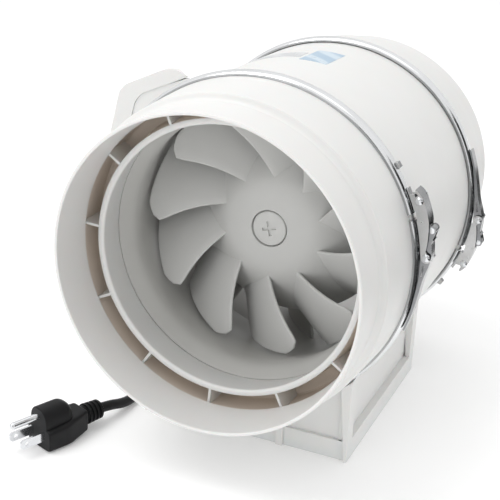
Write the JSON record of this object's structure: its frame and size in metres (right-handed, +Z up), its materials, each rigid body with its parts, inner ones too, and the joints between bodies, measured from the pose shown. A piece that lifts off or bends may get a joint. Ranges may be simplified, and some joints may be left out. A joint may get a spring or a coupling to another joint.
{
  "type": "inline duct fan",
  "caption": "Mixed-flow inline duct fan for round 200 mm duct, with clamped collars, over-centre latches, a spinning impeller, a terminal box, a mounting base and a mains lead.",
  "frame": {"origin": "centre of the base's underside, on the floor", "axes": "+Z up, the duct axis along Y with the inlet at -Y, latches at +X and terminal box at -X"},
  "size_m": [0.2474, 0.3527, 0.2493],
  "materials": {
    "white_shell": "satin white injection-moulded ABS",
    "impeller_plastic": "semi-matte light grey moulded plastic",
    "zinc": "bright zinc-plated sheet steel",
    "pin_steel": "plated steel rivets, screws and prongs",
    "bearing_steel": "ground steel",
    "dark_steel": "dark painted and laminated steel",
    "copper_winding": "enamelled copper wire, varnished",
    "grey_rubber": "soft grey seal",
    "black_rubber": "black PVC jacket, semi-matte",
    "black_plastic": "black moulded nylon",
    "terminal_plastic": "cream heat-resistant plastic"
  },
  "bodies": {
    "housing": {"base_bracket": "white_shell", "box_screw_1": "pin_steel", "box_screw_2": "pin_steel", "box_screw_3": "pin_steel", "box_screw_4": "pin_steel", "cable_gland": "black_plastic", "capacitor": "black_plastic", "cord_coil": "black_rubber", "cord_lead": "black_rubber", "cord_strain_relief": "black_rubber", "cord_tail": "black_rubber", "front_band": "zinc", "front_band_hook": "zinc", "front_band_lug": "zinc", "front_band_stop": "zinc", "front_bearing": "bearing_steel", "front_gasket": "grey_rubber", "front_lever_pin": "pin_steel", "front_winding": "copper_winding", "guide_vanes": "white_shell", "impeller_shroud": "white_shell", "inlet_collar": "white_shell", "main_casing": "white_shell", "motor_end_cover": "dark_steel", "motor_housing": "dark_steel", "outlet_collar": "white_shell", "plug_blade_1": "pin_steel", "plug_blade_2": "pin_steel", "plug_body": "black_rubber", "plug_earth_pin": "pin_steel", "rear_band": "zinc", "rear_band_hook": "zinc", "rear_band_lug": "zinc", "rear_band_stop": "zinc", "rear_bearing": "bearing_steel", "rear_gasket": "grey_rubber", "rear_lever_pin": "pin_steel", "rear_winding": "copper_winding", "stator_core": "dark_steel", "tail_cone": "white_shell", "terminal_block": "terminal_plastic", "terminal_box": "white_shell", "terminal_box_cover": "white_shell"},
    "rotor": {"impeller": "impeller_plastic", "impeller_cap_screw": "impeller_plastic", "motor_shaft": "bearing_steel", "rotor_core": "dark_steel"},
    "front_lever": {"front_latch_lever": "zinc", "front_link_pin": "pin_steel"},
    "front_link": {"front_latch_link": "zinc", "front_hook_pin": "pin_steel"},
    "rear_lever": {"rear_latch_lever": "zinc", "rear_link_pin": "pin_steel"},
    "rear_link": {"rear_latch_link": "zinc", "rear_hook_pin": "pin_steel"}
  },
  "joints": [
    {"name": "impeller_spin", "type": "hinge", "parent": "housing", "child": "rotor", "pos_m": [0, 0, 0.14], "axis": [0, -1, 0], "continuous": true},
    {"name": "front_lever_hinge", "type": "hinge", "parent": "housing", "child": "front_lever", "pos_m": [0.11478, -0.072, 0.16905], "axis": [0, -1, 0], "range_deg": [0, 150]},
    {"name": "front_link_hinge", "type": "hinge", "parent": "front_lever", "child": "front_link", "pos_m": [0.11357, -0.072, 0.15194], "axis": [0, -1, 0], "range_deg": [-150, 0]},
    {"name": "rear_lever_hinge", "type": "hinge", "parent": "housing", "child": "rear_lever", "pos_m": [0.11573, 0.072, 0.11498], "axis": [0, 1, 0], "range_deg": [0, 150]},
    {"name": "rear_link_hinge", "type": "hinge", "parent": "rear_lever", "child": "rear_link", "pos_m": [0.11392, 0.072, 0.13203], "axis": [0, 1, 0], "range_deg": [-150, 0]}
  ],
  "couplings": [
    {"joint": "front_link_hinge", "follows": "front_lever_hinge", "ratio": -1},
    {"joint": "rear_link_hinge", "follows": "rear_lever_hinge", "ratio": -1}
  ]
}
